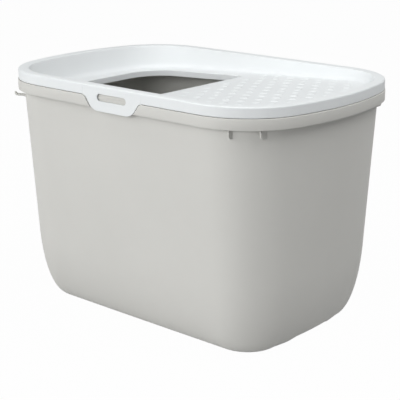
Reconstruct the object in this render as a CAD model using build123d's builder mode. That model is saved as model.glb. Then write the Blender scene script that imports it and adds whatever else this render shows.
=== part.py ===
from build123d import *
import math
import os

# Top-entry litter box: a deep bowed bin, a dished lid with an entry hole, two spring clips and four pads.
# Millimetres. X runs along the long side, the entry hole is toward -X, +Z is up, the floor is at zero.

# Plan outline of the rim: long sides almost straight, short ends clearly bowed
rim_length = 585.0
rim_width = 397.0
rim_corner_radius = 114.0
rim_bow_long_side = 1.8
rim_bow_short_end = 45.0
corner_center_inset_end = 124.5
corner_center_inset_side = 114.9
corner_center_x = rim_length / 2 - corner_center_inset_end
corner_center_y = rim_width / 2 - corner_center_inset_side

# Levels, each hung from the one above it
lid_top = 394.0
lid_skirt_height = 16.7
rim_height = 16.8
seam_height = lid_top - lid_skirt_height
rim_bottom = seam_height - rim_height

# Bin wall: insets from the rim outline, and how the base is rounded
wall_thickness = 2.6
wall_inset_top = 12.2
wall_lean_end = 21.6
wall_lean_side = 26.0
wall_corner_top = rim_corner_radius - 22.4
wall_corner_base = rim_corner_radius - 31.5
wall_bow_top = rim_bow_short_end - 2.5
wall_bow_base = rim_bow_short_end - 32.7
wall_bow_side_min = 0.2
base_height = 0.6
base_round = 42.1
base_round_stretch = 3.39
cavity_overshoot = 1.0

# Rim: a flange and an outer skirt
skirt_thickness = 2.2
flange_thickness = 2.4
rim_edge_chamfer = 1.0

# Raised arch under the base and the round sockets of the pads
pad_radius = 13.0
pad_thickness = 4.2
pad_clearance = 0.3
pad_inset_end = 82.5
pad_inset_side = 132.5
pad_center_x = rim_length / 2 - pad_inset_end
pad_center_y = rim_width / 2 - pad_inset_side
pad_edge_chamfer = 0.8
arch_half_width = pad_center_y - 4.0
arch_flat_half_width = arch_half_width - 26.0
arch_rise = 10.5
arch_edge_radius = 30.0

# Two stiffening plates under the rim near each corner of the right-hand end
plate_insets = (78.0, 42.0)
plate_thickness = 2.0
plate_height = 14.0
plate_bottom = rim_bottom - plate_height
plate_chamfer = 3.6
plate_edge_inset = skirt_thickness + 1.2
plate_length = 98.5
plate_rise_in_skirt = 2.0

# Peg for hanging the scoop, under the front left corner of the rim
peg_radius = 2.2
peg_angle = 220.0
peg_root = rim_corner_radius - 13.7
peg_elbow = rim_corner_radius + 5.0
peg_tip = rim_corner_radius + 8.0
peg_root_height = rim_bottom - 17.5
peg_elbow_height = rim_bottom - 14.2
peg_tip_height = rim_bottom - 10.4
peg_end_chamfer = 0.8

# Lid shell
lid_inset = 1.0
lid_skirt_thickness = 2.2
lid_crest_thickness = 2.5
crest_outer_radius = 2.5
crest_inner_radius = 3.0
skirt_edge_chamfer = 0.8

# Dished tray of the lid: leaning walls and a floor that slopes down to the entry hole
tray_inset = 19.0
tray_lean_degrees = 19.0
tray_thickness = 2.5
tray_wall_plan_thickness = tray_thickness / math.cos(math.radians(tray_lean_degrees))
tray_depth = 62.0
tray_foot_radius = 12.0
floor_height = lid_top - 26.5
floor_slope = 0.055

# Entry hole: square shoulders toward the ramp, wide round corners toward the end
hole_length = 214.0
hole_inset_end = 71.5
hole_left = -rim_length / 2 + hole_inset_end
hole_right = hole_left + hole_length
hole_half_width = rim_width / 2 - 68.5
hole_round_radius = 56.0
hole_shoulder_radius = 15.0
hole_lip_depth = 10.5
hole_lip_thickness = 2.2
hole_edge_chamfer = 0.6

# Staggered paw studs on the ramp
stud_pitch = 28.5
stud_radius = 7.2
stud_height = 2.0
stud_taper_degrees = 40.0
stud_first_x = hole_right + 29.0
stud_last_x = rim_length / 2 - 36.5
stud_half_width = rim_width / 2 - 48.5
stud_corner_reach = rim_corner_radius - 42.0

# Spring clips in the middle of the long sides
clip_half_width = 61.5
clip_shoulder = clip_half_width - 5.0
clip_foot = clip_half_width - 21.0
clip_bottom = seam_height - 21.9
clip_top = lid_top - 5.0
clip_shoulder_radius = 8.5
clip_foot_radius = 23.0
window_clearance = 0.6
clip_slot_length = 60.6
clip_slot_height = 10.9
clip_slot_center = seam_height - 0.5
clip_slot_radius = clip_slot_height / 2 - 0.25
clip_edge_chamfer = 0.4
notch_clearance = 1.2
notch_depth = 3.6

# Catch on the bin that fills the view through the clip's slot
catch_half_width = clip_slot_length / 2 + 5.7
catch_bottom = clip_slot_center - 10.8
catch_top = clip_slot_center + 7.2
catch_inner_inset = notch_depth + 6.4

os.makedirs("parts", exist_ok=True)


def bowed_outline(length, width, corner, bow_side, bow_end):
    """Closed plan outline: four bowed sides joined by round corners."""
    half_x = length / 2 - bow_end
    half_y = width / 2 - bow_side
    with BuildSketch(mode=Mode.PRIVATE) as plan:
        with BuildLine():
            ThreePointArc((-half_x, -half_y), (0, -width / 2), (half_x, -half_y))
            ThreePointArc((half_x, -half_y), (length / 2, 0), (half_x, half_y))
            ThreePointArc((half_x, half_y), (0, width / 2), (-half_x, half_y))
            ThreePointArc((-half_x, half_y), (-length / 2, 0), (-half_x, -half_y))
        make_face()
        fillet(plan.vertices(), radius=corner)
    return plan.sketch


def rim_plan(inset):
    """Rim outline drawn inward by an even distance."""
    outline = bowed_outline(
        rim_length,
        rim_width,
        rim_corner_radius,
        rim_bow_long_side,
        rim_bow_short_end,
    )
    if inset == 0:
        return outline
    with BuildSketch(mode=Mode.PRIVATE) as plan:
        add(outline)
        offset(amount=-inset)
    return plan.sketch


def wall_section(height, skin):
    """Plan of the bin wall at one height, moved inward by the skin thickness."""
    drop = 1 - height / rim_bottom
    inset_end = wall_inset_top + wall_lean_end * drop + skin
    inset_side = wall_inset_top + wall_lean_side * drop + skin
    return bowed_outline(
        rim_length - 2 * inset_end,
        rim_width - 2 * inset_side,
        wall_corner_top + (wall_corner_base - wall_corner_top) * drop - skin,
        rim_bow_long_side * (1 - drop) + wall_bow_side_min,
        wall_bow_top + (wall_bow_base - wall_bow_top) * drop,
    )


def wall_solid(skin, top):
    """Leaning wall with an elliptical base: a round base drawn squashed, then stretched."""
    bottom = base_height + skin
    round_radius = base_round - skin
    stretch = (base_round * base_round_stretch - skin) / round_radius
    with BuildPart(mode=Mode.PRIVATE) as wall:
        with BuildSketch():
            add(wall_section(bottom, skin))
        with BuildSketch(Plane.XY.offset((top - bottom) / stretch)):
            add(wall_section(top, skin))
        loft(ruled=True)
        fillet(wall.faces().sort_by(Axis.Z)[0].edges(), radius=round_radius)
        scale(by=(1, 1, stretch))
    return wall.part.moved(Location((0, 0, bottom)))


def clip_outline(clearance):
    """Front view of a clip: upright sides above the seam, sloping shoulders below it."""
    shoulder_height = seam_height - clearance / 2
    with BuildSketch(Plane.XZ, mode=Mode.PRIVATE) as plan:
        with BuildLine():
            Polyline(
                (-clip_half_width - clearance, clip_top),
                (-clip_half_width - clearance, shoulder_height),
                (-clip_shoulder - clearance, shoulder_height),
                (-clip_foot - clearance, clip_bottom - clearance),
                (clip_foot + clearance, clip_bottom - clearance),
                (clip_shoulder + clearance, shoulder_height),
                (clip_half_width + clearance, shoulder_height),
                (clip_half_width + clearance, clip_top),
                close=True,
            )
        make_face()
        fillet(plan.vertices().group_by(Axis.Y)[0], radius=clip_foot_radius)
        shoulders = plan.vertices().filter_by(
            lambda v: abs(abs(v.X) - clip_shoulder - clearance) < 0.1
        )
        fillet(shoulders, radius=clip_shoulder_radius)
    return plan.sketch


def leaning_tray(inset, lowered, foot_radius):
    """Solid that fills the lid's dish: leaning walls, sloping floor, round foot."""
    floor = Plane(
        origin=(0, 0, floor_height - lowered),
        x_dir=(1, 0, floor_slope),
        z_dir=(-floor_slope, 0, 1),
    )
    with BuildPart(mode=Mode.PRIVATE) as tray:
        with BuildSketch(Plane.XY.offset(lid_top)):
            add(rim_plan(inset))
        with BuildSketch(Plane.XY.offset(lid_top - tray_depth)):
            add(rim_plan(inset + tray_depth * math.tan(math.radians(tray_lean_degrees))))
        loft(ruled=True)
        split(bisect_by=floor, keep=Keep.TOP)
        fillet(tray.faces().sort_by(Axis.Z)[0].edges(), radius=foot_radius)
    return tray.part


def hole_plan(margin):
    """Plan of the entry hole, widened by a margin."""
    with BuildSketch(mode=Mode.PRIVATE) as plan:
        with Locations(((hole_left + hole_right) / 2, 0)):
            Rectangle(
                hole_right - hole_left + 2 * margin,
                2 * hole_half_width + 2 * margin,
            )
        fillet(plan.vertices().group_by(Axis.X)[0], radius=hole_round_radius + margin)
        fillet(plan.vertices().group_by(Axis.X)[-1], radius=hole_shoulder_radius + margin)
    return plan.sketch


def plate_strips(bottom):
    """Front pair of stiffening plates as plain strips, down to one level."""
    top = seam_height - flange_thickness / 2
    with BuildPart(mode=Mode.PRIVATE) as strips:
        for plate_inset in plate_insets:
            plate_plane = Plane.YZ.offset(rim_length / 2 - plate_inset - plate_thickness / 2)
            with BuildSketch(plate_plane):
                with Locations((-(rim_width - plate_length) / 2, (top + bottom) / 2)):
                    Rectangle(plate_length, top - bottom)
            extrude(amount=plate_thickness)
    return strips.part


# Bin: the hollow inside
with BuildPart() as cavity:
    add(wall_solid(wall_thickness, seam_height + cavity_overshoot))
    with BuildSketch(Plane.YZ):
        with BuildLine():
            Polyline(
                (-arch_half_width - wall_thickness, 0),
                (-arch_half_width - wall_thickness, wall_thickness + base_height),
                (-arch_flat_half_width, arch_rise + wall_thickness),
                (arch_flat_half_width, arch_rise + wall_thickness),
                (arch_half_width + wall_thickness, wall_thickness + base_height),
                (arch_half_width + wall_thickness, 0),
                close=True,
            )
        make_face()
    extrude(amount=rim_length / 2, both=True, mode=Mode.SUBTRACT)
    with GridLocations(2 * pad_center_x, 2 * pad_center_y, 2, 2):
        Cylinder(
            pad_radius + pad_clearance + wall_thickness,
            pad_thickness + wall_thickness,
            align=(Align.CENTER, Align.CENTER, Align.MIN),
            mode=Mode.SUBTRACT,
        )

# Bin: rim ring, built on its own so that its outer edges can be rounded
with BuildPart() as rim_ring:
    with BuildSketch(Plane.XY.offset(rim_bottom)):
        add(rim_plan(0))
    extrude(amount=seam_height - rim_bottom)
    chamfer(rim_ring.faces().sort_by(Axis.Z)[0].edges(), length=rim_edge_chamfer)
    chamfer(rim_ring.faces().sort_by(Axis.Z)[-1].edges(), length=rim_edge_chamfer)
    with BuildSketch(Plane.XY.offset(rim_bottom)):
        add(rim_plan(skirt_thickness))
    extrude(amount=seam_height - flange_thickness - rim_bottom, mode=Mode.SUBTRACT)

# Front half of what is cut from the rim for a clip
with BuildPart() as clip_notch:
    with BuildSketch(Plane.XZ.offset(rim_width / 2 + notch_clearance)):
        add(clip_outline(notch_clearance))
    extrude(amount=-notch_clearance - notch_depth)

# Envelope of the plates below the rim: upright just inside the skirt, cut off at its foot
with BuildPart() as plate_envelope:
    with BuildSketch(Plane.XY.offset(plate_bottom)):
        add(rim_plan(plate_edge_inset))
    extrude(amount=rim_bottom + plate_rise_in_skirt - plate_bottom)
    chamfer(plate_envelope.faces().sort_by(Axis.Z)[0].edges(), length=plate_chamfer)

with BuildPart() as plates:
    add(plate_strips(plate_bottom))
    add(plate_envelope.part, mode=Mode.INTERSECT)

# Upper part of the plates, hidden behind the skirt
with BuildPart() as plate_roots:
    add(plate_strips(rim_bottom + plate_rise_in_skirt / 2))
    with BuildSketch(Plane.XY.offset(rim_bottom)):
        add(rim_plan(skirt_thickness / 2))
    extrude(amount=seam_height - rim_bottom, mode=Mode.INTERSECT)

# Scoop peg: a round finger that leaves the wall and turns up at its end
peg_plane = Plane(
    origin=(-corner_center_x, -corner_center_y, 0),
    x_dir=(math.cos(math.radians(peg_angle)), math.sin(math.radians(peg_angle)), 0),
    z_dir=(-math.sin(math.radians(peg_angle)), math.cos(math.radians(peg_angle)), 0),
)
peg_sign = 1 if peg_plane.y_dir.Z > 0 else -1
with BuildPart() as peg:
    with BuildLine(peg_plane) as peg_path:
        Polyline(
            (peg_root, peg_sign * peg_root_height),
            (peg_elbow, peg_sign * peg_elbow_height),
            (peg_tip, peg_sign * peg_tip_height),
        )
    with BuildSketch(Plane(origin=peg_path.line @ 0, z_dir=peg_path.line % 0)):
        Circle(peg_radius)
    sweep(transition=Transition.RIGHT)
    chamfer(peg.faces().sort_by(Axis.Z)[-1].edges(), length=peg_end_chamfer)

with BuildPart() as litter_bin:
    add(wall_solid(0, seam_height))
    add(rim_ring.part)
    for piece in (plates.part, plate_roots.part):
        add(piece)
        add(piece.mirror(Plane.XZ))
    add(peg.part)
    with BuildSketch(Plane.YZ) as arch:
        with BuildLine():
            Polyline(
                (-arch_half_width, 0),
                (-arch_flat_half_width, arch_rise),
                (arch_flat_half_width, arch_rise),
                (arch_half_width, 0),
                close=True,
            )
        make_face()
        fillet(arch.vertices().group_by(Axis.Y)[-1], radius=arch_edge_radius)
    extrude(amount=rim_length / 2, both=True, mode=Mode.SUBTRACT)
    with GridLocations(2 * pad_center_x, 2 * pad_center_y, 2, 2):
        Cylinder(
            pad_radius + pad_clearance,
            pad_thickness,
            align=(Align.CENTER, Align.CENTER, Align.MIN),
            mode=Mode.SUBTRACT,
        )
    add(cavity.part, mode=Mode.SUBTRACT)
    add(clip_notch.part, mode=Mode.SUBTRACT)
    add(clip_notch.part.mirror(Plane.XZ), mode=Mode.SUBTRACT)
    for side in (-1, 1):
        catch_middle = rim_width / 2 - (notch_depth + catch_inner_inset) / 2
        with Locations((0, side * catch_middle, (catch_bottom + catch_top) / 2)):
            Box(
                2 * catch_half_width,
                catch_inner_inset - notch_depth,
                catch_top - catch_bottom,
            )

# Lid: shell with skirt and rounded crest, then the dish, the hole and the studs
tray_fill = leaning_tray(tray_inset - tray_wall_plan_thickness, tray_thickness, tray_foot_radius)
tray_hollow = leaning_tray(tray_inset, 0, tray_foot_radius)
floor_plane = Plane(
    origin=(0, 0, floor_height),
    x_dir=(1, 0, floor_slope),
    z_dir=(-floor_slope, 0, 1),
)

# Lip that turns down all round the entry hole
with BuildPart() as hole_lip:
    with BuildSketch(Plane.XY.offset(seam_height)):
        add(hole_plan(hole_lip_thickness))
    extrude(amount=-tray_depth)
    split(bisect_by=floor_plane.offset(-tray_thickness / 2), keep=Keep.BOTTOM)
    split(bisect_by=floor_plane.offset(-hole_lip_depth), keep=Keep.TOP)

# Room in the lid's skirt for one clip
with BuildPart() as clip_window:
    with Locations((0, -rim_width / 2, (seam_height + clip_top) / 2)):
        Box(
            2 * clip_half_width,
            2 * (lid_inset + lid_skirt_thickness + window_clearance),
            clip_top - seam_height,
        )

stud_points = []
row_step = stud_pitch * math.sqrt(3) / 2
row_count = int(stud_half_width / row_step)
column_count = int((stud_last_x - stud_first_x) / stud_pitch) + 1
for row in range(-row_count, row_count + 1):
    for column in range(column_count):
        stud_x = stud_first_x + (column + (row % 2) / 2) * stud_pitch
        stud_y = row * row_step
        past_x = max(stud_x - corner_center_x, 0)
        past_y = max(abs(stud_y) - corner_center_y, 0)
        if math.hypot(past_x, past_y) < stud_corner_reach and stud_x < stud_last_x:
            stud_points.append((stud_x, stud_y))

with BuildPart() as lid:
    with BuildSketch(Plane.XY.offset(seam_height)):
        add(rim_plan(lid_inset))
    extrude(amount=lid_top - seam_height)
    fillet(lid.faces().sort_by(Axis.Z)[-1].edges(), radius=crest_outer_radius)
    chamfer(lid.faces().sort_by(Axis.Z)[0].edges(), length=skirt_edge_chamfer)
    with BuildSketch(Plane.XY.offset(seam_height)):
        add(rim_plan(lid_inset + lid_skirt_thickness))
    extrude(amount=lid_top - lid_crest_thickness - seam_height, mode=Mode.SUBTRACT)
    add(tray_fill)
    add(tray_hollow, mode=Mode.SUBTRACT)
    crest = lid.faces().filter_by(Axis.Z).sort_by(Axis.Z)[-1]
    fillet(crest.inner_wires()[0].edges(), radius=crest_inner_radius)
    add(hole_lip.part)
    with BuildSketch(Plane.XY.offset(lid_top)):
        add(hole_plan(0))
    extrude(amount=-tray_depth, mode=Mode.SUBTRACT)
    tray_floor = lid.faces().filter_by(Axis((0, 0, 0), floor_plane.z_dir)).sort_by(Axis.Z)[-1]
    chamfer(tray_floor.inner_wires()[0].edges(), length=hole_edge_chamfer)
    add(clip_window.part, mode=Mode.SUBTRACT)
    add(clip_window.part.mirror(Plane.XZ), mode=Mode.SUBTRACT)
    with BuildSketch(floor_plane):
        with Locations(stud_points):
            RegularPolygon(radius=stud_radius, side_count=6)
    extrude(amount=stud_height, taper=stud_taper_degrees)

# Spring clip: a piece of the lid's skirt that reaches down over the bin's rim
with BuildPart() as front_clip:
    with BuildSketch(Plane.XY.offset(clip_bottom)):
        add(rim_plan(lid_inset))
        add(rim_plan(lid_inset + lid_skirt_thickness), mode=Mode.SUBTRACT)
    extrude(amount=clip_top - clip_bottom)
    with BuildSketch(Plane.XZ.offset(rim_width / 2)):
        add(clip_outline(0))
        with Locations((0, clip_slot_center)):
            RectangleRounded(
                clip_slot_length,
                clip_slot_height,
                clip_slot_radius,
                mode=Mode.SUBTRACT,
            )
    extrude(amount=-rim_width / 4, mode=Mode.INTERSECT)
    chamfer(front_clip.faces().sort_by(Axis.Y)[0].edges(), length=clip_edge_chamfer)

with BuildPart() as back_clip:
    add(front_clip.part.mirror(Plane.XZ))

# Non-slip pads in their sockets
pads = {}
for end_name, end in (("left", -1), ("right", 1)):
    for side_name, side in (("front", -1), ("back", 1)):
        with BuildPart() as pad:
            with Locations((end * pad_center_x, side * pad_center_y, 0)):
                Cylinder(
                    pad_radius,
                    pad_thickness,
                    align=(Align.CENTER, Align.CENTER, Align.MIN),
                )
            chamfer(pad.faces().sort_by(Axis.Z)[0].edges(), length=pad_edge_chamfer)
        pads["foot_pad_" + side_name + "_" + end_name] = pad.part

pieces = {
    "bin": litter_bin.part,
    "lid": lid.part,
    "front_clip": front_clip.part,
    "back_clip": back_clip.part,
}
pieces.update(pads)
for name, shape in pieces.items():
    shape.label = name
    export_step(shape, "parts/" + name + ".step")
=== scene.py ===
import bpy
import math
import numpy as np
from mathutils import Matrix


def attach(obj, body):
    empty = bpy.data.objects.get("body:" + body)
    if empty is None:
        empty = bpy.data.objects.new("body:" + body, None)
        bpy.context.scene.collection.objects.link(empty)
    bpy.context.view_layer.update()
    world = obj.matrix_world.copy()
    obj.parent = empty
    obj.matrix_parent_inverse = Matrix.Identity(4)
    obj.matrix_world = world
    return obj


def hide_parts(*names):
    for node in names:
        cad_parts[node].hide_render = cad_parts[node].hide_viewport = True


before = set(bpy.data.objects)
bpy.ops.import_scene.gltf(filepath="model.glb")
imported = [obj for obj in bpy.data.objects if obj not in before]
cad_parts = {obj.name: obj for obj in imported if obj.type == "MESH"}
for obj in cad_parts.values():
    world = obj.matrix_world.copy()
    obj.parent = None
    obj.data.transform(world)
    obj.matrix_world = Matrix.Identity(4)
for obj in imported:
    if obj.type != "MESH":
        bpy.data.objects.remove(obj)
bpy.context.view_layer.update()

mm = 0.001  # every size below is in millimetres and is brought to metres when a mesh is filled
print("frame loaded")


# The rim seen from above: two long sides and two short ends, all bowed, with round corners.
rim = {
    "length": 585.0,
    "width": 397.0,
    "corner": 114.0,
    "bowSide": 1.8,
    "bowEnd": 45.0,
    "top": 394.0,
    "seam": 377.3,
    "bottom": 360.5,
}

# Columns of every outline: where the long side is cut for a clip, and how finely each stretch is divided.
columns = {"clipEdge": 61.5, "step": 0.01, "middle": 22, "side": 26, "corner": 34, "end": 26}


# Bowed rectangle drawn inward by an even distance. A side is an arc through its two ends and its bowed
# middle, and a corner is the circle that touches both arcs from inside: its centre is where circles of
# radius (side radius - corner) and (end radius - corner) meet. One quarter is worked out and mirrored.
# Any size may be an array with one value for each row, and the result is then rows x columns.
def bowedOutline(length, width, corner, bowSide, bowEnd, inset=0.0):
    rows = np.broadcast_arrays(length, width, corner, bowSide, bowEnd, inset)
    length, width, corner, bowSide, bowEnd, inset = [np.atleast_1d(r).astype(float)[:, None] for r in rows]
    halfX = length / 2 - bowEnd
    halfY = width / 2 - bowSide
    radiusSide = (halfX**2 + bowSide**2) / (2 * bowSide)
    radiusEnd = (halfY**2 + bowEnd**2) / (2 * bowEnd)
    sideY = radiusSide - width / 2
    endX = length / 2 - radiusEnd
    reachSide = radiusSide - corner
    reachEnd = radiusEnd - corner
    gap = np.hypot(endX, sideY)
    along = (reachSide**2 - reachEnd**2 + gap**2) / (2 * gap)
    across = np.sqrt(reachSide**2 - along**2)
    unitX, unitY = endX / gap, -sideY / gap
    centreX = along * unitX - across * unitY
    centreY = sideY + along * unitY + across * unitX
    angleSide = np.arctan2(centreY - sideY, centreX)
    angleEnd = np.arctan2(centreY, centreX - endX)
    cornerStartX = centreX + (corner - inset) * np.cos(angleSide)
    edge, step = columns["clipEdge"], columns["step"]
    near = np.linspace(0, 1, columns["middle"])[None] * (edge - step)
    far = edge + step + np.linspace(0, 1, columns["side"])[None] * (cornerStartX - edge - step)
    sideXs = np.concatenate([np.broadcast_to(near, (len(length), near.shape[1])), far[:, :-1]], axis=1)
    sideYs = sideY - np.sqrt((radiusSide - inset) ** 2 - sideXs**2)
    turn = angleSide + np.linspace(0, 1, columns["corner"])[None] * (angleEnd - angleSide)
    cornerXs = centreX + (corner - inset) * np.cos(turn)
    cornerYs = centreY + (corner - inset) * np.sin(turn)
    swing = angleEnd * (1 - np.linspace(0, 1, columns["end"])[None])[:, 1:]
    endXs = endX + (radiusEnd - inset) * np.cos(swing)
    endYs = (radiusEnd - inset) * np.sin(swing)
    quarterX = np.concatenate([sideXs, cornerXs, endXs], axis=1)
    quarterY = np.concatenate([sideYs, cornerYs, endYs], axis=1)
    x = np.concatenate([quarterX, quarterX[:, -2::-1], -quarterX[:, 1:], -quarterX[:, -2:0:-1]], axis=1)
    y = np.concatenate([quarterY, -quarterY[:, -2::-1], -quarterY[:, 1:], quarterY[:, -2:0:-1]], axis=1)
    return np.stack([x, y], axis=-1)


# The rim's own outline, drawn inward.
def rimOutline(inset):
    return bowedOutline(rim["length"], rim["width"], rim["corner"], rim["bowSide"], rim["bowEnd"], inset)


# Outward direction of each column of a closed outline: the chord between its neighbours, turned square.
def outwardOf(outline):
    chord = np.roll(outline, -1, axis=-2) - np.roll(outline, 1, axis=-2)
    normal = np.stack([chord[..., 1], -chord[..., 0]], axis=-1)
    return normal / np.linalg.norm(normal, axis=-1, keepdims=True)


# A round corner as a circular arc through rational weights: the curve starts on one leg, leans to the
# corner point with weight cos(half the turn), and ends on the other leg. Rows are points along the arc.
def roundCorner(before, at, after, radius, count):
    legIn = before - at
    legOut = after - at
    legIn = legIn / np.linalg.norm(legIn, axis=-1, keepdims=True)
    legOut = legOut / np.linalg.norm(legOut, axis=-1, keepdims=True)
    opening = np.arccos(np.clip((legIn * legOut).sum(-1, keepdims=True), -1, 1))
    reach = radius / np.tan(opening / 2)
    weight = np.sin(opening / 2)
    t = np.linspace(0, 1, count).reshape(-1, *([1] * at.ndim))
    start, finish = at + legIn * reach, at + legOut * reach
    top = (1 - t) ** 2 * start + 2 * t * (1 - t) * weight * at + t**2 * finish
    return top / ((1 - t) ** 2 + 2 * t * (1 - t) * weight + t**2)


# A mesh from a grid of points, rows x columns x 3. Columns close on themselves, rows may close too, and an
# open end can be capped with a fan to its middle point.
def gridPiece(name, points, closeRows=False, capFirst=False, capLast=False):
    rowCount, columnCount = points.shape[:2]
    vertices = points.reshape(-1, 3)
    index = np.arange(rowCount * columnCount).reshape(rowCount, columnCount)
    ahead = np.roll(index, -1, axis=1)
    above = np.roll(index, -1, axis=0)
    aboveAhead = np.roll(above, -1, axis=1)
    rowsUsed = rowCount if closeRows else rowCount - 1
    quads = np.stack([index, ahead, aboveAhead, above], axis=-1)[:rowsUsed].reshape(-1, 4)
    faces = quads.tolist()
    for wanted, row, flip in ((capFirst, 0, True), (capLast, rowCount - 1, False)):
        if wanted:
            hub = len(vertices)
            vertices = np.vstack([vertices, points[row].mean(axis=0)])
            ring = np.stack([index[row], ahead[row], np.full(columnCount, hub)], axis=-1)
            faces += (ring[:, ::-1] if flip else ring).tolist()
    mesh = bpy.data.meshes.new(name)
    mesh.from_pydata((vertices * mm).tolist(), [], faces)
    mesh.validate()
    mesh.update()
    return finishPiece(name, mesh)


# Smooth shading with crisp edges past an angle, and the object linked to the scene.
def finishPiece(name, mesh, sharpDegrees=35.0):
    piece = bpy.data.objects.new(name, mesh)
    bpy.context.scene.collection.objects.link(piece)
    mesh.shade_smooth()
    mesh.set_sharp_from_angle(angle=math.radians(sharpDegrees))
    return piece


print("shapes ready")


view = {"azimuth": 40.57, "elevation": 16.61, "roll": -0.09, "distance": 1859.64, "lens": 100.335}
view["target"] = (5.16, 0.0, 177.35)

azimuth = math.radians(view["azimuth"])
elevation = math.radians(view["elevation"])
back = np.array([
    math.sin(azimuth) * math.cos(elevation),
    -math.cos(azimuth) * math.cos(elevation),
    math.sin(elevation),
])
cameraData = bpy.data.cameras.new("studioCamera")
cameraData.lens = view["lens"]
cameraData.sensor_width = 36.0
cameraData.clip_end = 50.0
camera = bpy.data.objects.new("studioCamera", cameraData)
bpy.context.scene.collection.objects.link(camera)
camera.location = (np.array(view["target"]) + back * view["distance"]) * mm
camera.rotation_euler = (math.pi / 2 - elevation, math.radians(view["roll"]), azimuth)
bpy.context.scene.camera = camera
print("camera placed")


wall = {
    "insetTop": 12.2,
    "leanEnd": 21.6,
    "leanSide": 26.0,
    "cornerTop": 91.6,
    "cornerBase": 82.5,
    "bowTop": 42.5,
    "bowBase": 12.3,
    "bowSideMin": 0.2,
    "base": 0.6,
    "round": 42.1,
    "stretch": 3.39,
    "thickness": 2.6,
    "archHalf": 62.0,
    "archFlat": 36.0,
    "archRise": 10.5,
    "padX": 210.0,
    "padY": 66.0,
    "padBoss": 16.0,
    "padTop": 6.8,
    "flange": 2.4,
    "flangeInset": 1.5,
    "flangeRound": 0.3,
    "seamDrop": 0.05,
    "notchInset": 3.7,
    "notchHalf": 58.0,
    "roundRows": 30,
    "wallRows": 26,
    "baseRings": 34,
}


# Plan of the wall at one height: insets and corner radius change evenly from the rim down to the floor.
def wallSection(height, skin):
    drop = 1 - height / rim["bottom"]
    insetEnd = wall["insetTop"] + wall["leanEnd"] * drop + skin
    insetSide = wall["insetTop"] + wall["leanSide"] * drop + skin
    return bowedOutline(
        rim["length"] - 2 * insetEnd,
        rim["width"] - 2 * insetSide,
        wall["cornerTop"] + (wall["cornerBase"] - wall["cornerTop"]) * drop - skin,
        rim["bowSide"] * (1 - drop) + wall["bowSideMin"],
        wall["bowTop"] + (wall["bowBase"] - wall["bowTop"]) * drop,
    )[0]


# Leaning wall over an elliptical foot. In a frame squashed in height the foot is a circle of radius r that
# touches the base and the leaning wall: it runs from straight down to 90 degrees less the lean, and its
# distance from the wall's line is lean * r - r * sqrt(1 + lean^2) + r * sin(turn). Then height is stretched.
def wallRows(skin, top):
    bottom = wall["base"] + skin
    radius = wall["round"] - skin
    stretch = (wall["round"] * wall["stretch"] - skin) / radius
    foot, head = wallSection(bottom, skin), wallSection(rim["seam"], skin)
    outward = outwardOf(foot)
    shift = head - foot
    reach = (shift * outward).sum(-1, keepdims=True)
    sideways = shift - outward * reach
    span = (rim["seam"] - bottom) / stretch
    lean = reach / span
    turn = np.linspace(0, 1, wall["roundRows"])[:, None, None] * (math.pi / 2 - np.arctan(lean))
    rise = radius * (1 - np.cos(turn))
    away = lean * radius - radius * np.sqrt(1 + lean**2) + radius * np.sin(turn)
    footXY = foot + sideways * rise / span + outward * away
    topRise = (top - bottom) / stretch
    climb = rise[-1] + np.linspace(0, 1, wall["wallRows"])[1:, None, None] * (topRise - rise[-1])
    wallXY = foot + shift * climb / span
    rings = np.linspace(0.03, 1, wall["baseRings"])[:-1, None, None] * footXY[:1]
    xy = np.concatenate([rings, footXY, wallXY])
    ringHeight = np.full(rings.shape[:2] + (1,), bottom)
    height = np.concatenate([ringHeight, bottom + rise * stretch, bottom + climb * stretch])
    return np.concatenate([xy, height], axis=-1)


# Raised arch along the middle of the base: flat in the middle, easing down to nothing at its edges.
def archHeight(y):
    t = np.clip((wall["archHalf"] - np.abs(y)) / (wall["archHalf"] - wall["archFlat"]), 0, 1)
    return wall["archRise"] * t * t * (3 - 2 * t)


# One ring of points at an inset from the rim and a height. Both may change from column to column.
def rimRing(inset, height):
    outline = rimOutline(0.0)[0]
    xy = outline - outwardOf(outline) * np.broadcast_to(inset, outline.shape[:1])[:, None]
    z = np.broadcast_to(height, outline.shape[:1])[:, None]
    return np.concatenate([xy, z], axis=-1)[None]


# Outer wall up to the flange, round the flange's edge, and down the inner wall: one closed skin.
def makeBinShell():
    outer = wallRows(0.0, rim["seam"] - wall["flange"])
    outer[..., 2] = np.maximum(outer[..., 2], wall["base"] + archHeight(outer[..., 1]))
    inner = wallRows(wall["thickness"], rim["seam"])[::-1].copy()
    lifted = wall["base"] + wall["thickness"] + archHeight(inner[..., 1])
    padGap = np.hypot(np.abs(inner[..., 0]) - wall["padX"], np.abs(inner[..., 1]) - wall["padY"])
    lifted = np.where(padGap < wall["padBoss"], wall["padTop"], lifted)
    inner[..., 2] = np.maximum(inner[..., 2], lifted)
    across = np.abs(rimOutline(0.0)[0][:, 0])
    edge = np.where(across < wall["notchHalf"], wall["notchInset"], wall["flangeInset"])
    below, above = rim["seam"] - wall["flange"], rim["seam"] - wall["seamDrop"]
    flangeRings = [
        rimRing(edge, below),
        rimRing(edge, (below + above) / 2),
        rimRing(edge, above - wall["flangeRound"]),
        rimRing(edge + wall["flangeRound"], above),
    ]
    points = np.concatenate([outer, *flangeRings, inner])
    piece = gridPiece("binShell", points, capFirst=True, capLast=True)
    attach(piece, "bin")
    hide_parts("bin")
    return piece


# The rounded top edge passes through points given as shares of the edge, inward and down.
skirt = {
    "thickness": 2.2,
    "edge": 1.2,
    "lowEdge": 1.1,
    "roundSteps": ((0.1, 0.6), (0.35, 0.25)),
    "bevelShare": 0.3,
    "backEdge": 0.2,
    "edgeRoom": 2.5,
    "joinGap": 0.1,
    "leastHeight": 0.06,
    "columns": 44,
}

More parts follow.
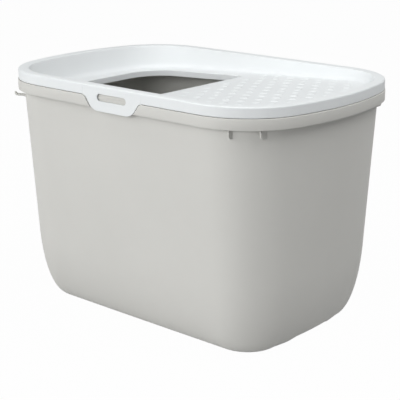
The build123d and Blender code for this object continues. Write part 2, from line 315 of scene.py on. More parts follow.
# Notch that the rim's skirt leaves round a clip: the clip's outline with room to move.
notch = {
    "half": 62.7,
    "shoulder": 57.7,
    "foot": 41.7,
    "high": 376.7,
    "low": 354.2,
    "bend": 8.5,
    "bowl": 23.0,
}


# Top of the rim's skirt beside a clip, from the middle outward: a round bowl up from the notch's foot, a
# straight slant, a round shoulder, then the seam. With turn = the slant's angle, the bowl reaches up the
# slant by bowl * tan(turn / 2), and the shoulder reaches down it by bend * tan(turn / 2).
def skirtTop(x):
    across = np.abs(x)
    turn = math.atan2(notch["high"] - notch["low"], notch["shoulder"] - notch["foot"])
    bowlX = notch["foot"] - notch["bowl"] * math.tan(turn / 2)
    bendX = notch["shoulder"] + notch["bend"] * math.tan(turn / 2)
    slant = notch["low"] + (across - notch["foot"]) * math.tan(turn)
    inBowl = np.clip(across - bowlX, 0, notch["bowl"] * math.sin(turn))
    bowl = notch["low"] + notch["bowl"] - np.sqrt(notch["bowl"] ** 2 - inBowl**2)
    inBend = np.clip(bendX - across, 0, notch["bend"] * math.sin(turn))
    bend = notch["high"] - notch["bend"] + np.sqrt(notch["bend"] ** 2 - inBend**2)
    height = np.where(across < bowlX + notch["bowl"] * math.sin(turn), bowl, slant)
    height = np.where(across > bendX - notch["bend"] * math.sin(turn), bend, height)
    height = np.maximum(height, rim["bottom"] + skirt["leastHeight"])
    return np.where(across >= notch["half"], rim["seam"], height)


# Distance from the middle at which the notch crosses the rim's bottom edge, on its round bowl.
def notchAtBottom():
    turn = math.atan2(notch["high"] - notch["low"], notch["shoulder"] - notch["foot"])
    bowlX = notch["foot"] - notch["bowl"] * math.tan(turn / 2)
    drop = notch["low"] + notch["bowl"] - rim["bottom"]
    return bowlX + math.sqrt(notch["bowl"] ** 2 - drop**2)


# Skirt of the rim round one end: its section, a thin upright bar with rounded edges, carried along the rim
# from one clip to the other. Its top edge follows skirtTop.
def makeRimSkirt(name, end):
    outline = rimOutline(0.0)[0]
    normal = outwardOf(outline)
    far = (outline[:, 0] * end > 0) & (np.abs(outline[:, 0]) > notch["half"] + skirt["joinGap"])
    order = np.argsort(np.arctan2(outline[far][:, 1], outline[far][:, 0] * end))
    ring, ringNormal = outline[far][order], normal[far][order]
    xs = np.linspace(notchAtBottom(), notch["half"], skirt["columns"])
    nearRow = np.stack([xs * end, np.full(len(xs), ring[0, 1])], axis=-1)
    nearSide = outline[:columns["middle"] + columns["side"] // 2]
    nearRow[:, 1] = np.interp(xs, np.abs(nearSide[:, 0]), nearSide[:, 1])
    nearNormal = np.tile([0.0, -1.0], (len(xs), 1))
    flip = np.array([1.0, -1.0])
    path = np.concatenate([nearRow, ring, (nearRow * flip)[::-1]])
    away = np.concatenate([nearNormal, ringNormal, (nearNormal * flip)[::-1]])
    top = skirtTop(path[:, 0])
    room = (top - rim["bottom"]) / skirt["edgeRoom"]
    edge, lowEdge = np.minimum(skirt["edge"], room), np.minimum(skirt["lowEdge"], room)
    flush, thick, low = edge * 0, edge * 0 + skirt["thickness"], edge * 0 + rim["bottom"]
    share, back = skirt["bevelShare"], skirt["backEdge"]
    section = [
        (flush, low + lowEdge), (flush, top - edge),
        *[(edge * inward, top - edge * down) for inward, down in skirt["roundSteps"]],
        (edge, top), (thick - back, top), (thick, top - edge * share),
        (thick, low + lowEdge * share), (thick - back, low),
        (lowEdge, low), (lowEdge * share, low + lowEdge * share),
    ]
    rows = [
        np.concatenate([path - away * inset[:, None], height[:, None]], axis=-1)
        for inset, height in section
    ]
    points = np.stack(rows, axis=1)
    if end > 0:
        points = points[::-1]
    piece = gridPiece(name, points, capFirst=True, capLast=True)
    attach(piece, "bin")
    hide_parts("bin")
    return piece


binPieces = [makeBinShell(), makeRimSkirt("rimSkirtRight", 1), makeRimSkirt("rimSkirtLeft", -1)]
print("bin wall and rim made")


# Counts are of rings of points along each stretch of the lid's skin.
lid = {
    "inset": 1.0,
    "skirt": 2.2,
    "crest": 2.5,
    "crestOuter": 2.5,
    "crestInner": 3.0,
    "skirtEdge": 0.6,
    "seamGap": 0.7,
    "trayInset": 19.0,
    "trayLean": 19.0,
    "trayThickness": 2.5,
    "trayWall": 2.644,
    "foot": 12.0,
    "floor": 367.5,
    "slope": 0.055,
    "windowTop": 389.0,
    "windowY": 150.0,
    "holeLeft": -221.0,
    "holeRight": -7.0,
    "holeHalf": 130.0,
    "holeRound": 56.0,
    "holeShoulder": 15.0,
    "lipDepth": 10.5,
    "lipThickness": 2.2,
    "lipCorner": 0.15,
    "lipEdge": 0.5,
    "lipHold": 1.1,
    "holeEdge": 1.3,
    "skirtHold": 2.0,
    "bevelShare": 0.3,
    "crestReach": 4.0,
    "crestHold": 0.5,
    "skirtCount": 5,
    "crestCount": 9,
    "wallCount": 8,
    "footCount": 14,
    "floorCount": 26,
    "edgeCount": 7,
    "underCount": 12,
    "underFootCount": 8,
    "settleRounds": 8,
    "holeArcCount": 60,
    "holeFineness": 12,
}


# Outline of the entry hole as a distance from its middle for a given direction: corner arcs and straight
# sides are strung together finely, turned to angles, and read off by interpolation.
def holePoint(direction):
    middleX = (lid["holeLeft"] + lid["holeRight"]) / 2
    corners = (
        (lid["holeRight"], -1, lid["holeShoulder"], -90), (lid["holeRight"], 1, lid["holeShoulder"], 0),
        (lid["holeLeft"], 1, lid["holeRound"], 90), (lid["holeLeft"], -1, lid["holeRound"], 180),
    )
    arcs = []
    for endX, side, radius, start in corners:
        turn = np.radians(start + np.linspace(0, 90, lid["holeArcCount"]))
        hubX = endX - radius * (1 if endX == lid["holeRight"] else -1)
        hubY = side * (lid["holeHalf"] - radius)
        arcs.append(np.stack([hubX + radius * np.cos(turn), hubY + radius * np.sin(turn)], axis=-1))
    ring = np.concatenate(arcs)
    ring = np.concatenate([ring, ring[:1]])
    fine = np.linspace(0, len(ring) - 1, lid["holeFineness"] * len(ring))
    ring = np.stack([np.interp(fine, np.arange(len(ring)), ring[:, k]) for k in (0, 1)], axis=-1)
    angle = np.unwrap(np.arctan2(ring[:, 1], ring[:, 0] - middleX))
    distance = np.hypot(ring[:, 0] - middleX, ring[:, 1])
    wanted = np.mod(direction - angle[0], 2 * math.pi) + angle[0]
    reach = np.interp(wanted, angle, distance)
    return np.stack([middleX + reach * np.cos(direction), reach * np.sin(direction)], axis=-1)


# Height of the sloping tray floor at a place.
def floorAt(x):
    return lid["floor"] + lid["slope"] * x


# Place on the rim's plan at an inset, with its height: one ring.
def lidRing(inset, height, window=False):
    ring = rimRing(inset, height)
    if window:
        inWindow = (np.abs(ring[0, :, 0]) < columns["clipEdge"]) & (np.abs(ring[0, :, 1]) > lid["windowY"])
        ring[0, inWindow, 2] = np.maximum(ring[0, inWindow, 2], lid["windowTop"])
    return ring


# Foot of the tray wall: where the leaning wall meets the sloping floor. The inset depends on the height and
# the height on the place, so the two are worked out in turn until they settle.
def trayFoot(insetTop, lowered):
    outline = rimOutline(0.0)[0]
    normal = outwardOf(outline)
    inset = np.full(len(outline), insetTop)
    slant = math.tan(math.radians(lid["trayLean"]))
    for settle in range(lid["settleRounds"]):
        x = outline[:, 0] - normal[:, 0] * inset
        inset = insetTop + (rim["top"] - (floorAt(x) - lowered)) * slant
    xy = outline - normal * inset[:, None]
    return np.concatenate([xy, (floorAt(xy[:, 0]) - lowered)[:, None]], axis=-1)


# The whole lid in one closed skin: skirt, crest, leaning tray wall, round foot, floor, lip of the entry
# hole, and back under the floor and wall to the skirt. Rings share their columns all the way.
def makeLidShell():
    low, high = rim["seam"] + lid["seamGap"], rim["top"]
    face, thick, edge = lid["inset"], lid["skirt"], lid["skirtEdge"]
    underInset = lid["trayInset"] - lid["trayWall"]
    footTop = trayFoot(lid["trayInset"], 0.0)
    footUnder = trayFoot(underInset, lid["trayThickness"])
    middle = np.array([(lid["holeLeft"] + lid["holeRight"]) / 2, 0.0])
    direction = np.arctan2(footTop[:, 1] - middle[1], footTop[:, 0] - middle[0])
    hole = holePoint(direction)
    away = outwardOf(hole)
    holeFloor = floorAt(hole[:, 0])
    crestEdge = lidRing(lid["trayInset"], high)[0]
    crestOut = lidRing(face, high)[0]
    crestInside = lidRing(face + lid["crestReach"], high)[0]
    skirtFace = lidRing(face, low)[0]
    outerCrest = roundCorner(skirtFace, crestOut, crestInside, lid["crestOuter"], lid["crestCount"])
    innerCrest = roundCorner(crestOut, crestEdge, footTop, lid["crestInner"], lid["crestCount"])
    holeOnFloor = np.concatenate([hole, holeFloor[:, None]], axis=-1)
    foot = roundCorner(crestEdge, footTop, holeOnFloor, lid["foot"], lid["footCount"])
    wallShare = np.linspace(0, 1, lid["wallCount"])[1:-1, None, None]
    wallRingsTop = innerCrest[-1] + (foot[0] - innerCrest[-1]) * wallShare
    holeRound = lid["holeEdge"]
    wide = hole + away * holeRound
    floorStart = np.concatenate([wide, floorAt(wide[:, 0])[:, None]], axis=-1)
    floorRings = foot[-1] + (floorStart - foot[-1]) * np.linspace(0, 1, lid["floorCount"])[1:, None, None]
    turn = np.linspace(0, math.pi / 2, lid["edgeCount"])[1:, None]
    edgeXY = hole[None] + away[None] * (holeRound * (1 - np.sin(turn)))[..., None]
    edgeZ = holeFloor[None, :, None] - (holeRound * (1 - np.cos(turn)))[..., None]
    holeEdge = np.concatenate([edgeXY, edgeZ], axis=-1)
    lip, deepest = lid["lipThickness"], lid["lipDepth"]
    lipEdge, lipCorner = lid["lipEdge"], lid["lipCorner"]
    lipSteps = [
        (0.0, holeRound + lipEdge), (0.0, deepest - lid["lipHold"]), (0.0, deepest - lipEdge),
        (lipCorner, deepest - lipCorner), (lipEdge, deepest),
        (lip - lipEdge, deepest), (lip - lipCorner, deepest - lipCorner), (lip, deepest - lipEdge),
        (lip, lid["trayThickness"]),
    ]
    lipRings = [
        np.concatenate([hole + away * out, (holeFloor - deep)[:, None]], axis=-1)[None]
        for out, deep in lipSteps
    ]
    underStart = lipRings[-1][0]
    underCrest = lidRing(underInset, high)[0]
    underFoot = roundCorner(underStart, footUnder, underCrest, lid["foot"], lid["underFootCount"])
    underShare = np.linspace(0, 1, lid["underCount"])[1:-1, None, None]
    underRings = underStart + (underFoot[0] - underStart) * underShare
    skirtIn = face + thick
    roof = high - lid["crest"]
    slant = math.tan(math.radians(lid["trayLean"]))
    roofInset = underInset + (high - roof) * slant
    bevel = edge * lid["bevelShare"]
    closing = [
        lidRing(roofInset, roof), lidRing(skirtIn, roof),
        lidRing(skirtIn, low + edge, True), lidRing(skirtIn - bevel, low + bevel, True),
        lidRing(skirtIn - edge, low, True), lidRing(face + edge, low, True),
        lidRing(face + bevel, low + bevel, True), lidRing(face, low + edge, True),
    ]
    skirtTopEdge = outerCrest[0][0, 2] - lid["crestHold"]
    skirtHeights = np.linspace(low + lid["skirtHold"], skirtTopEdge, lid["skirtCount"])
    skirtRows = [lidRing(face, height, True) for height in skirtHeights]
    points = np.concatenate([
        *skirtRows, outerCrest, innerCrest, wallRingsTop, foot, floorRings, holeEdge, *lipRings,
        underRings, underFoot, *closing,
    ])
    piece = gridPiece("lidShell", points, closeRows=True)
    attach(piece, "lid")
    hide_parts("lid")
    return piece


studs = {
    "pitch": 28.5,
    "radius": 7.2,
    "height": 1.3,
    "firstX": 22.0,
    "lastX": 256.0,
    "halfWidth": 150.0,
    "cornerX": 168.0,
    "cornerY": 83.6,
    "cornerReach": 72.0,
    "sides": 24,
    "rings": (1.05, 1.0, 0.9, 0.76, 0.58, 0.36, 0.14),
    "hexagonShare": 0.75,
    "circle": 0.93,
    "sharpDegrees": 50.0,
}


# Six-sided stud with soft corners: the radius follows a hexagon's side, apothem / cos(angle from its
# middle), leaning a little to a circle. Its dome is a bowl upside down: height = full height * (1 - the
# square of the ring's share of the radius). The first ring lies just under the floor.
def makeStuds():
    rowStep = studs["pitch"] * math.sqrt(3) / 2
    rowsEachSide = int(studs["halfWidth"] / rowStep)
    rows = np.arange(-rowsEachSide, rowsEachSide + 1)
    cols = np.arange(int((studs["lastX"] - studs["firstX"]) / studs["pitch"]) + 1)
    rowGrid, colGrid = [g.ravel() for g in np.meshgrid(rows, cols, indexing="ij")]
    x = studs["firstX"] + (colGrid + (rowGrid % 2) / 2) * studs["pitch"]
    y = rowGrid * rowStep
    pastX = np.maximum(x - studs["cornerX"], 0)
    pastY = np.maximum(np.abs(y) - studs["cornerY"], 0)
    reach = np.hypot(pastX, pastY)
    keep = (reach < studs["cornerReach"]) & (x < studs["lastX"])
    x, y = x[keep], y[keep]
    angle = np.arange(studs["sides"]) * 2 * math.pi / studs["sides"]
    fromMiddle = np.mod(angle, math.pi / 3) - math.pi / 6
    share = studs["hexagonShare"]
    hexagon = share * math.cos(math.pi / 6) / np.cos(fromMiddle) + (1 - share) * studs["circle"]
    size = studs["radius"] * np.array(studs["rings"])
    level = 1 - (size / studs["radius"]) ** 2
    ringX = size[:, None] * hexagon * np.cos(angle)
    ringY = size[:, None] * hexagon * np.sin(angle)
    px = x[:, None, None] + ringX
    py = y[:, None, None] + ringY
    pz = floorAt(px) + (level * studs["height"])[None, :, None]
    shape = px.shape
    vertices = np.stack([px, py, pz], axis=-1).reshape(-1, 3)
    index = np.arange(len(vertices)).reshape(shape)
    ahead = np.roll(index, -1, axis=2)
    quads = np.stack([index[:, :-1], ahead[:, :-1], ahead[:, 1:], index[:, 1:]], axis=-1).reshape(-1, 4)
    faces = quads.tolist() + index[:, -1].tolist() + index[:, 0, ::-1].tolist()
    mesh = bpy.data.meshes.new("pawStuds")
    mesh.from_pydata((vertices * mm).tolist(), [], faces)
    mesh.update()
    piece = finishPiece("pawStuds", mesh, studs["sharpDegrees"])
    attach(piece, "lid")
    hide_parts("lid")
    return piece


lidShell = makeLidShell()
pawStuds = makeStuds()
lidPieces = [lidShell, pawStuds]
print("lid and studs made")


# Two plates under the rim at each corner of the right end, the scoop peg, and the catches of the clips.
small = {
    "plateX": (214.5, 250.5),
    "plateHalf": 1.0,
    "plateFoot": 346.5,
    "plateInset": 3.4,
    "plateInsetRoot": 1.1,
    "plateCut": 3.6,
    "plateCutReach": 1.3,
    "plateBlend": 0.3,
    "plateOverlap": 1.0,
    "plateStep": 0.5,
    "plateBevel": 0.25,
    "plateFlat": 0.8,
    "pegHub": (-168.0, -83.6),
    "pegAngle": 220.0,
    "pegRadius": 2.2,
    "pegPath": ((98.0, 340.5), (107.0, 345.6), (118.6, 346.2), (120.9, 349.2)),
    "pegBend": 5.0,
    "pegTipBend": 2.5,
    "pegBendCount": 11,
    "pegDomeCount": 7,
    "pegSides": 20,
    "catchHalf": 36.0,
    "catchLow": 366.0,
    "catchHigh": 384.0,
    "catchOuter": 4.6,
    "catchInner": 10.5,
    "catchRound": 0.8,
}


# Front side of an outline as y for a given x, drawn inward.
def frontSideY(outline, x, inset):
    inward = outline - outwardOf(outline) * inset
    quarter = len(outline) // 4
    return np.interp(x, inward[:quarter, 0], inward[:quarter, 1])


# A plate across the rim: its outline, a strip with a cut-off outer foot that widens into the skirt above
# the skirt's bottom edge and sinks to the middle of the wall, carried over its thickness.
def makePlate(name, x, side):
    low, high = small["plateFoot"], rim["seam"] - wall["flange"]
    under = rim["bottom"] + small["plateOverlap"]
    cut, blend, sink = small["plateCut"], small["plateBlend"], wall["thickness"] / 2
    reach = cut * small["plateCutReach"]
    rimPlan = rimOutline(0.0)[0]
    outer = frontSideY(rimPlan, x, small["plateInset"])
    root = frontSideY(rimPlan, x, small["plateInsetRoot"])
    innerLow = frontSideY(wallSection(low, sink), x, 0.0)
    innerHigh = frontSideY(wallSection(high, sink), x, 0.0)
    profile = np.array([
        (outer + reach, low), (outer + cut, low + blend), (outer + blend, low + cut), (outer, low + reach),
        (outer, under), (root, under + small["plateStep"]), (root, high),
        (innerHigh, high), (innerLow, low),
    ])
    steps = np.array([-1.0, -small["plateFlat"], small["plateFlat"], 1.0]) * small["plateHalf"]
    shrink = np.array([1.0, 0.0, 0.0, 1.0]) * small["plateBevel"]
    middle = profile.mean(axis=0)
    toMiddle = (middle - profile) / np.linalg.norm(middle - profile, axis=1, keepdims=True)
    section = profile + toMiddle * shrink[:, None, None]
    points = np.stack([
        np.broadcast_to(x + steps[:, None], section.shape[:2]),
        section[..., 0] * -side,
        section[..., 1],
    ], axis=-1)
    if side < 0:
        points = points[::-1]
    piece = gridPiece(name, points, capFirst=True, capLast=True)
    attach(piece, "bin")
    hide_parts("bin")
    return piece


# A round finger: a circle carried along a path of three straight runs with round bends, closed by a dome.
def makePeg():
    spot = np.array(small["pegPath"])
    firstBend = roundCorner(spot[0], spot[1], spot[2], small["pegBend"], small["pegBendCount"])
    lastBend = roundCorner(spot[1], spot[2], spot[3], small["pegTipBend"], small["pegBendCount"])
    path = np.concatenate([spot[:1], firstBend, lastBend, spot[3:]])
    dome = np.sin(np.linspace(0, math.pi / 2, small["pegDomeCount"]))[1:-1, None]
    ahead = (path[-1] - path[-2]) / np.linalg.norm(path[-1] - path[-2])
    path = np.concatenate([path, path[-1] + ahead * dome * small["pegRadius"]])
    straight = len(path) - len(dome)
    size = small["pegRadius"] * np.concatenate([np.ones(straight), np.sqrt(1 - dome[:, 0] ** 2)])
    tangent = np.gradient(path, axis=0)
    tangent /= np.linalg.norm(tangent, axis=1, keepdims=True)
    around = np.linspace(0, 2 * math.pi, small["pegSides"], endpoint=False)
    out = path[:, None, 0] - tangent[:, None, 1] * size[:, None] * np.cos(around)
    height = path[:, None, 1] + tangent[:, None, 0] * size[:, None] * np.cos(around)
    across = size[:, None] * np.sin(around)
    heading = math.radians(small["pegAngle"])
    hubX, hubY = small["pegHub"]
    points = np.stack([
        hubX + out * math.cos(heading) - across * math.sin(heading),
        hubY + out * math.sin(heading) + across * math.cos(heading),
        height,
    ], axis=-1)
    piece = gridPiece("scoopPeg", points[::-1], capFirst=True, capLast=True)
    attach(piece, "bin")
    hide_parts("bin")
    return piece


# A block with rounded edges: each direction of a sphere is pushed out to the block's corner hub on its side.
def roundedBlock(name, low, high, radius, count=5):
    low, high = np.array(low), np.array(high)
    middle, half = (low + high) / 2, (high - low) / 2 - radius
    quarter = np.linspace(0, math.pi / 2, count)
    turn = (quarter[None] + np.arange(4)[:, None] * math.pi / 2).ravel()
    sideX = np.repeat([1, -1, -1, 1], count)
    sideY = np.repeat([1, 1, -1, -1], count)
    tilt = np.concatenate([np.linspace(-math.pi / 2, 0, count)[1:], quarter[:-1]])[:, None]
    sideZ = np.repeat([-1, 1], count - 1)[:, None]
    x = middle[0] + half[0] * sideX + radius * np.cos(tilt) * np.cos(turn)
    y = middle[1] + half[1] * sideY + radius * np.cos(tilt) * np.sin(turn)
    z = middle[2] + half[2] * sideZ + radius * np.sin(tilt)
    points = np.stack(np.broadcast_arrays(x, y, z), axis=-1)
    return gridPiece(name, points, capFirst=True, capLast=True)


# The catch behind each clip's slot, seen through it.
def makeCatch(name, side):
    outer = rim["width"] / 2 - small["catchOuter"]
    inner = rim["width"] / 2 - small["catchInner"]
    nearY, farY = sorted((side * outer, side * inner))
    lowCorner = (-small["catchHalf"], nearY, small["catchLow"])
    highCorner = (small["catchHalf"], farY, small["catchHigh"])
    piece = roundedBlock(name, lowCorner, highCorner, small["catchRound"])
    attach(piece, "bin")
    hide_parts("bin")
    return piece


binPieces += [makeCatch("clipCatchFront", -1), makeCatch("clipCatchBack", 1), makePeg()]
for plateIndex, plateX in enumerate(small["plateX"]):
    binPieces += [
        makePlate("rimPlateFront" + str(plateIndex + 1), plateX, -1),
        makePlate("rimPlateBack" + str(plateIndex + 1), plateX, 1),
    ]
print("small bin parts made")


# One value socket of a group.
def addSocket(group, name, direction, kind="NodeSocketFloat", value=None):
    socket = group.interface.new_socket(name=name, in_out=direction, socket_type=kind)
    if value is not None:
        socket.default_value = value
    return socket


# Moulded grain: fine noise for the skin of the plastic, and a slow noise for flow in the mould.
# Height = fine noise; Flow = slow noise, both around 0 to 1.
def buildGrainGroup():
    group = bpy.data.node_groups.new("mouldedGrain", "ShaderNodeTree")
    addSocket(group, "Fine Scale", "INPUT", value=900.0)
    addSocket(group, "Flow Scale", "INPUT", value=9.0)
    addSocket(group, "Height", "OUTPUT")
    addSocket(group, "Flow", "OUTPUT")
    nodes, links = group.nodes, group.links
    inputs, outputs = nodes.new("NodeGroupInput"), nodes.new("NodeGroupOutput")
    place = nodes.new("ShaderNodeTexCoord")
    fine, flow = nodes.new("ShaderNodeTexNoise"), nodes.new("ShaderNodeTexNoise")
    fine.inputs["Detail"].default_value = 4.0
    flow.inputs["Detail"].default_value = 3.0
    links.new(place.outputs["Object"], fine.inputs["Vector"])
    links.new(place.outputs["Object"], flow.inputs["Vector"])
    links.new(inputs.outputs["Fine Scale"], fine.inputs["Scale"])
    links.new(inputs.outputs["Flow Scale"], flow.inputs["Scale"])
    links.new(fine.outputs["Fac"], outputs.inputs["Height"])
    links.new(flow.outputs["Fac"], outputs.inputs["Flow"])
    return group


# Handling wear: Rub = patchy mask of rubbed spots, a slow noise times a fine one, sharpened;
# Scratch = thin streaks, a noise stretched along one direction and cut to its peaks.
def buildWearGroup():
    group = bpy.data.node_groups.new("handlingWear", "ShaderNodeTree")
    addSocket(group, "Patch Scale", "INPUT", value=14.0)
    addSocket(group, "Streak Scale", "INPUT", value=60.0)
    addSocket(group, "Rub", "OUTPUT")
    addSocket(group, "Scratch", "OUTPUT")
    nodes, links = group.nodes, group.links
    inputs, outputs = nodes.new("NodeGroupInput"), nodes.new("NodeGroupOutput")
    place = nodes.new("ShaderNodeTexCoord")
    patch = nodes.new("ShaderNodeTexNoise")
    patch.inputs["Detail"].default_value = 5.0
    patch.inputs["Roughness"].default_value = 0.62
    links.new(place.outputs["Object"], patch.inputs["Vector"])
    links.new(inputs.outputs["Patch Scale"], patch.inputs["Scale"])
    rub = nodes.new("ShaderNodeMapRange")
    rub.inputs["From Min"].default_value = 0.52
    rub.inputs["From Max"].default_value = 0.72
    links.new(patch.outputs["Fac"], rub.inputs["Value"])
    links.new(rub.outputs["Result"], outputs.inputs["Rub"])
    stretch = nodes.new("ShaderNodeMapping")
    stretch.inputs["Scale"].default_value = (1.0, 1.0, 9.0)
    stretch.inputs["Rotation"].default_value = (0.35, 0.2, 0.5)
    streak = nodes.new("ShaderNodeTexNoise")
    streak.inputs["Detail"].default_value = 2.0
    links.new(place.outputs["Object"], stretch.inputs["Vector"])
    links.new(stretch.outputs["Vector"], streak.inputs["Vector"])
    links.new(inputs.outputs["Streak Scale"], streak.inputs["Scale"])
    scratch = nodes.new("ShaderNodeMapRange")
    scratch.inputs["From Min"].default_value = 0.66
    scratch.inputs["From Max"].default_value = 0.78
    links.new(streak.outputs["Fac"], scratch.inputs["Value"])
    links.new(scratch.outputs["Result"], outputs.inputs["Scratch"])
    return group


grainGroup, wearGroup = buildGrainGroup(), buildWearGroup()


# A sum or product of two values, or of a value and a number.
def mathNode(tree, operation, first, second, clamp=False):
    node = tree.nodes.new("ShaderNodeMath")
    node.operation = operation
    node.use_clamp = clamp
    for socket, value in zip(node.inputs, (first, second)):
        if isinstance(value, bpy.types.NodeSocket):
            tree.links.new(value, socket)
        else:
            socket.default_value = value
    return node.outputs[0]


# One colour over another by a mask.
def mixColour(tree, mask, under, over):
    node = tree.nodes.new("ShaderNodeMix")
    node.data_type = "RGBA"
    tree.links.new(mask, node.inputs["Factor"])
    for socket, value in ((node.inputs["A"], under), (node.inputs["B"], over)):
        if isinstance(value, bpy.types.NodeSocket):
            tree.links.new(value, socket)
        else:
            socket.default_value = (*value, 1.0)
    return node.outputs["Result"]


finish = {"grainDepth": 0.0004, "ior": 1.49}  # depth in metres


# Moulded plastic. Colour = base, shifted to a darker and a lighter tone by the flow, lightened where it is
# rubbed and in thin scratches. Roughness = base + flow + rub. Bump = fine grain with shallow scratches.
def mouldedPlastic(name, look):
    material = bpy.data.materials.new(name)
    material.use_nodes = True
    tree = material.node_tree
    shader = tree.nodes["Principled BSDF"]
    grain, wear = tree.nodes.new("ShaderNodeGroup"), tree.nodes.new("ShaderNodeGroup")
    grain.node_tree, wear.node_tree = grainGroup, wearGroup
    grain.inputs["Fine Scale"].default_value = look["fineScale"]
    grain.inputs["Flow Scale"].default_value = look["flowScale"]
    wear.inputs["Patch Scale"].default_value = look["patchScale"]
    wear.inputs["Streak Scale"].default_value = look["streakScale"]
    colour = mixColour(tree, grain.outputs["Flow"], look["dark"], look["light"])
    rubMask = mathNode(tree, "MULTIPLY", wear.outputs["Rub"], look["rub"])
    colour = mixColour(tree, rubMask, colour, look["rubbed"])
    scratchMask = mathNode(tree, "MULTIPLY", wear.outputs["Scratch"], look["scratch"])
    colour = mixColour(tree, scratchMask, colour, look["rubbed"])
    tree.links.new(colour, shader.inputs["Base Color"])
    rough = mathNode(tree, "MULTIPLY", grain.outputs["Flow"], look["roughVary"])
    rough = mathNode(tree, "ADD", rough, look["rough"])
    rubRough = mathNode(tree, "MULTIPLY", wear.outputs["Rub"], look["rubRough"])
    rough = mathNode(tree, "ADD", rough, rubRough, True)
    tree.links.new(rough, shader.inputs["Roughness"])
    height = mathNode(tree, "SUBTRACT", grain.outputs["Height"], scratchMask)
    bump = tree.nodes.new("ShaderNodeBump")
    bump.inputs["Strength"].default_value = look["bump"]
    bump.inputs["Distance"].default_value = finish["grainDepth"]
    tree.links.new(height, bump.inputs["Height"])
    tree.links.new(bump.outputs["Normal"], shader.inputs["Normal"])
    shader.inputs["IOR"].default_value = finish["ior"]
    shader.inputs["Specular IOR Level"].default_value = look["gloss"]
    return material


# Bump = strength of the grain, and the scales are those of the noises.
binLook = {
    "dark": (0.620, 0.617, 0.588), "light": (0.662, 0.659, 0.630), "rubbed": (0.71, 0.705, 0.68),
    "rub": 0.14, "scratch": 0.10, "rough": 0.50, "roughVary": 0.08, "rubRough": 0.06, "bump": 0.16,
    "gloss": 0.4, "fineScale": 1100.0, "flowScale": 7.0, "patchScale": 12.0, "streakScale": 46.0,
}
lidLook = {
    "dark": (0.790, 0.818, 0.828), "light": (0.826, 0.852, 0.860), "rubbed": (0.85, 0.87, 0.875),
    "rub": 0.12, "scratch": 0.10, "rough": 0.55, "roughVary": 0.08, "rubRough": 0.07, "bump": 0.12,
    "gloss": 0.16, "fineScale": 1300.0, "flowScale": 8.0, "patchScale": 16.0, "streakScale": 55.0,
}
# Foot pads: near-black to paint the dark shade under the base's arch at the far foot, which is painted
# shade; their rubbed spots and scratches are wear.
padPaintedShadeLook = {
    "dark": (0.026, 0.026, 0.027), "light": (0.040, 0.040, 0.041), "rubbed": (0.10, 0.098, 0.094),
    "rub": 0.35, "scratch": 0.25, "rough": 0.72, "roughVary": 0.12, "rubRough": 0.08, "bump": 0.5,
    "gloss": 0.5, "fineScale": 1600.0, "flowScale": 30.0, "patchScale": 60.0, "streakScale": 120.0,
}
binPlastic = mouldedPlastic("binPlastic", binLook)
lidPlastic = mouldedPlastic("lidPlastic", lidLook)
padPaintedShadeRubber = mouldedPlastic("padPaintedShadeRubber", padPaintedShadeLook)


# Gives a piece or a carried-over part its finish.
def dress(piece, material):
    if piece.data.materials:
        for index in range(len(piece.data.materials)):
            piece.material_slots[index].material = material
    else:
        piece.data.materials.append(material)


for piece in binPieces:
    dress(piece, binPlastic)
for piece in lidPieces:
    dress(piece, lidPlastic)
for nodeName in ("front_clip", "back_clip"):
    dress(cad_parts[nodeName], lidPlastic)
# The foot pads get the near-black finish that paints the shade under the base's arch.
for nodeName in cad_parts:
    if nodeName.startswith("foot_pad"):
        dress(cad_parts[nodeName], padPaintedShadeRubber)
print("materials on")


studio = {
    "floorHalf": 6.0,
    "world": 0.1,
    "floorShow": 0.98,
    "floorTone": 0.5,
    "floorRough": 0.9,
    "aim": (0.0, 0.0, 0.2),
    "key": {"place": (-1.8, -2.5, 1.65), "size": 2.6, "power": 47.0},
    "front": {"place": (0.3, -3.0, 1.1), "size": 1.6, "power": 35.0},
    "top": {"place": (0.2, -0.3, 2.9), "size": 2.8, "power": 21.0},
    "topRight": {"place": (1.5, 0.5, 2.4), "size": 2.2, "power": 39.0},
}


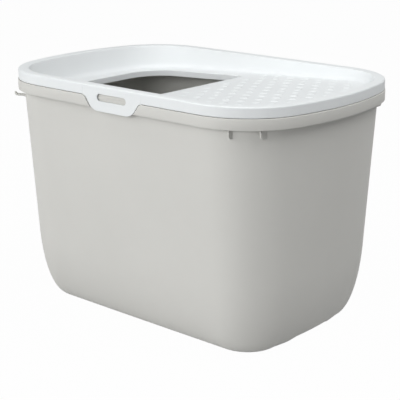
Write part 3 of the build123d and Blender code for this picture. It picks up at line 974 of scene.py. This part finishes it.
# Floor: plain pale, and shown white to the camera and in reflections, with part of its own shading kept so
# that the object's shadow stays.
def makeFloor():
    half = studio["floorHalf"]
    side = np.linspace(-half, half, 2)
    x, y = [g.ravel() for g in np.meshgrid(side, side, indexing="ij")]
    mesh = bpy.data.meshes.new("studioFloor")
    mesh.from_pydata(np.stack([x, y, x * 0], axis=-1).tolist(), [], [[0, 2, 3, 1]])
    mesh.update()
    floor = bpy.data.objects.new("studioFloor", mesh)
    bpy.context.scene.collection.objects.link(floor)
    material = bpy.data.materials.new("paleFloor")
    material.use_nodes = True
    tree = material.node_tree
    shader, output = tree.nodes["Principled BSDF"], tree.nodes["Material Output"]
    shader.inputs["Base Color"].default_value = (*[studio["floorTone"]] * 3, 1.0)
    shader.inputs["Roughness"].default_value = studio["floorRough"]
    glow = tree.nodes.new("ShaderNodeEmission")
    blend = tree.nodes.new("ShaderNodeMixShader")
    path = tree.nodes.new("ShaderNodeLightPath")
    seen = mathNode(tree, "MAXIMUM", path.outputs["Is Camera Ray"], path.outputs["Is Glossy Ray"])
    seen = mathNode(tree, "MAXIMUM", seen, path.outputs["Is Transmission Ray"])
    tree.links.new(mathNode(tree, "MULTIPLY", seen, studio["floorShow"]), blend.inputs["Fac"])
    tree.links.new(shader.outputs[0], blend.inputs[1])
    tree.links.new(glow.outputs[0], blend.inputs[2])
    tree.links.new(blend.outputs[0], output.inputs["Surface"])
    mesh.materials.append(material)


# Soft lamp, aimed at the middle of the object.
def makeLamp(name, lamp):
    data = bpy.data.lights.new(name, "AREA")
    data.shape = "DISK"
    data.size = lamp["size"]
    data.energy = lamp["power"]
    light = bpy.data.objects.new(name, data)
    bpy.context.scene.collection.objects.link(light)
    place = np.array(lamp["place"])
    toward = np.array(studio["aim"]) - place
    flat = math.hypot(toward[0], toward[1])
    tilt = math.atan2(flat, -toward[2])
    heading = math.atan2(toward[1], toward[0]) - math.pi / 2
    light.location = place
    light.rotation_euler = (tilt, 0.0, heading)


# World: soft even light, plain white to the camera.
def makeWorld():
    world = bpy.data.worlds.new("softRoom")
    world.use_nodes = True
    bpy.context.scene.world = world
    tree = world.node_tree
    background, output = tree.nodes["Background"], tree.nodes["World Output"]
    background.inputs["Color"].default_value = (1.0, 1.0, 1.0, 1.0)
    background.inputs["Strength"].default_value = studio["world"]
    shown = tree.nodes.new("ShaderNodeBackground")
    shown.inputs["Color"].default_value = (1.0, 1.0, 1.0, 1.0)
    shown.inputs["Strength"].default_value = 1.0
    blend, path = tree.nodes.new("ShaderNodeMixShader"), tree.nodes.new("ShaderNodeLightPath")
    tree.links.new(path.outputs["Is Camera Ray"], blend.inputs["Fac"])
    tree.links.new(background.outputs[0], blend.inputs[1])
    tree.links.new(shown.outputs[0], blend.inputs[2])
    tree.links.new(blend.outputs[0], output.inputs["Surface"])


makeFloor()
makeWorld()
for lampName in ("key", "front", "top", "topRight"):
    makeLamp(lampName + "Lamp", studio[lampName])
bpy.context.scene.view_settings.view_transform = "Standard"
print("floor and light set")
